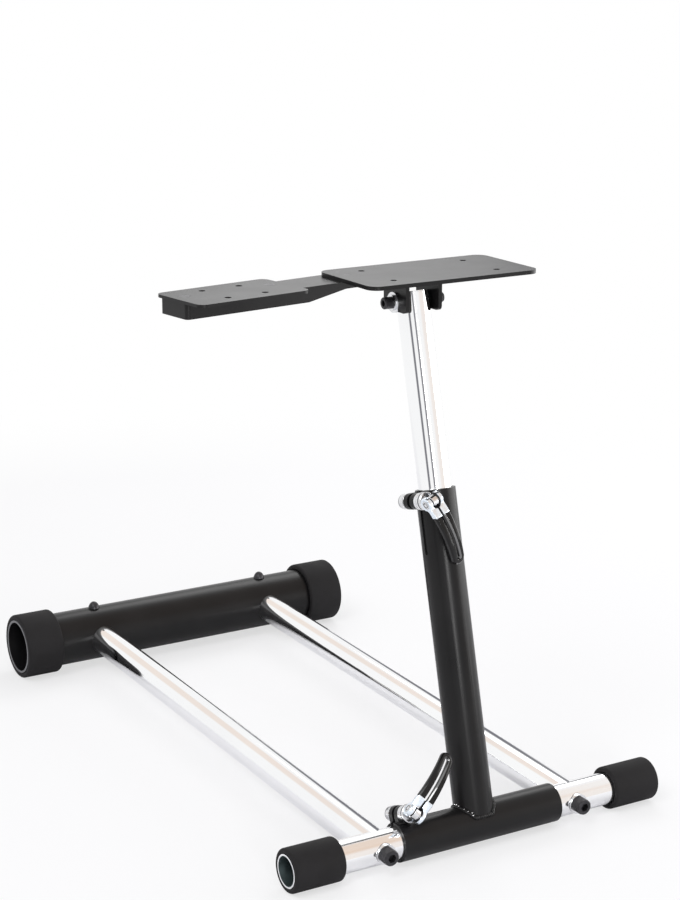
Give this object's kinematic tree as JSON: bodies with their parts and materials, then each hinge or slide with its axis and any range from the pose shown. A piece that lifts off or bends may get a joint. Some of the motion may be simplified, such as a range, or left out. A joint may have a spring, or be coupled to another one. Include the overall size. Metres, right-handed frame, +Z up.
{
  "type": "racing wheel stand",
  "caption": "Folding floor stand of chrome and black tube: a telescopic mast on a tubular base holds a steering wheel plate with a side arm for a gear shifter.",
  "frame": {"origin": "on the floor under the middle of the stand's outer box", "axes": "+Z up, +Y from the user towards the far cross tube, +X to the user's right"},
  "size_m": [0.5036, 0.743, 0.5753],
  "materials": {
    "chrome_tube": "mirror chrome plate",
    "black_coat": "satin black powder coat",
    "foot_rubber": "matt black rubber",
    "black_steel": "black oxide fasteners",
    "bright_zinc": "bright zinc plate",
    "lever_chrome": "polished chrome casting",
    "dipped_grip": "glossy black dip coating"
  },
  "bodies": {
    "base": {"near_cross_tube": "chrome_tube", "near_foot_left": "foot_rubber", "near_foot_right": "foot_rubber", "long_tube_left": "chrome_tube", "long_tube_right": "chrome_tube", "far_cross_tube": "black_coat", "far_foot_left": "foot_rubber", "far_foot_right": "foot_rubber", "near_bolt_left": "black_steel", "near_bolt_right": "black_steel", "near_washer_left": "bright_zinc", "near_washer_right": "bright_zinc", "far_bolt_left": "black_steel", "far_bolt_right": "black_steel"},
    "mast": {"mast_sleeve": "black_coat", "mast_tube": "black_coat", "lower_clamp_lugs": "black_coat", "upper_clamp_lugs": "black_coat", "lower_skewer": "bright_zinc", "upper_skewer": "bright_zinc", "lower_clamp_washers": "bright_zinc", "upper_clamp_washers": "bright_zinc", "lower_clamp_nut": "bright_zinc", "upper_clamp_nut": "bright_zinc"},
    "upper_mast": {"upper_tube": "chrome_tube"},
    "wheel_deck": {"wheel_plate": "black_coat", "tilt_bracket": "black_coat", "pivot_bolt": "black_steel", "pivot_washers": "bright_zinc", "pivot_nut": "black_steel", "shifter_arm": "black_coat", "shifter_plate": "black_coat", "arm_bolts": "black_steel", "tray_bolts": "black_steel", "tray_nuts": "black_steel"},
    "lower_lever": {"lower_lever_fork": "lever_chrome", "lower_lever_grip": "dipped_grip"},
    "upper_lever": {"upper_lever_fork": "lever_chrome", "upper_lever_grip": "dipped_grip"}
  },
  "joints": [
    {"name": "mast_tilt", "type": "hinge", "parent": "base", "child": "mast", "pos_m": [0.03185, -0.3425, 0.0225], "axis": [-1, 0, 0], "range_deg": [-15, 62]},
    {"name": "height_slide", "type": "slide", "parent": "mast", "child": "upper_mast", "axis": [0, 0.2368, 0.9715], "range_m": [-0.11, 0.1]},
    {"name": "wheel_plate_tilt", "type": "hinge", "parent": "upper_mast", "child": "wheel_deck", "pos_m": [0.03185, -0.21627, 0.54034], "axis": [1, 0, 0], "range_deg": [-30, 30]},
    {"name": "lower_lever_swing", "type": "hinge", "parent": "mast", "child": "lower_lever", "pos_m": [-0.05215, -0.3602, 0.0586], "axis": [0.6947, -0.266, -0.6684], "range_deg": [0, 110]},
    {"name": "upper_lever_swing", "type": "hinge", "parent": "mast", "child": "upper_lever", "pos_m": [0.00705, -0.29478, 0.35372], "axis": [-0.9361, -0.1606, -0.3129], "range_deg": [0, 110]}
  ]
}
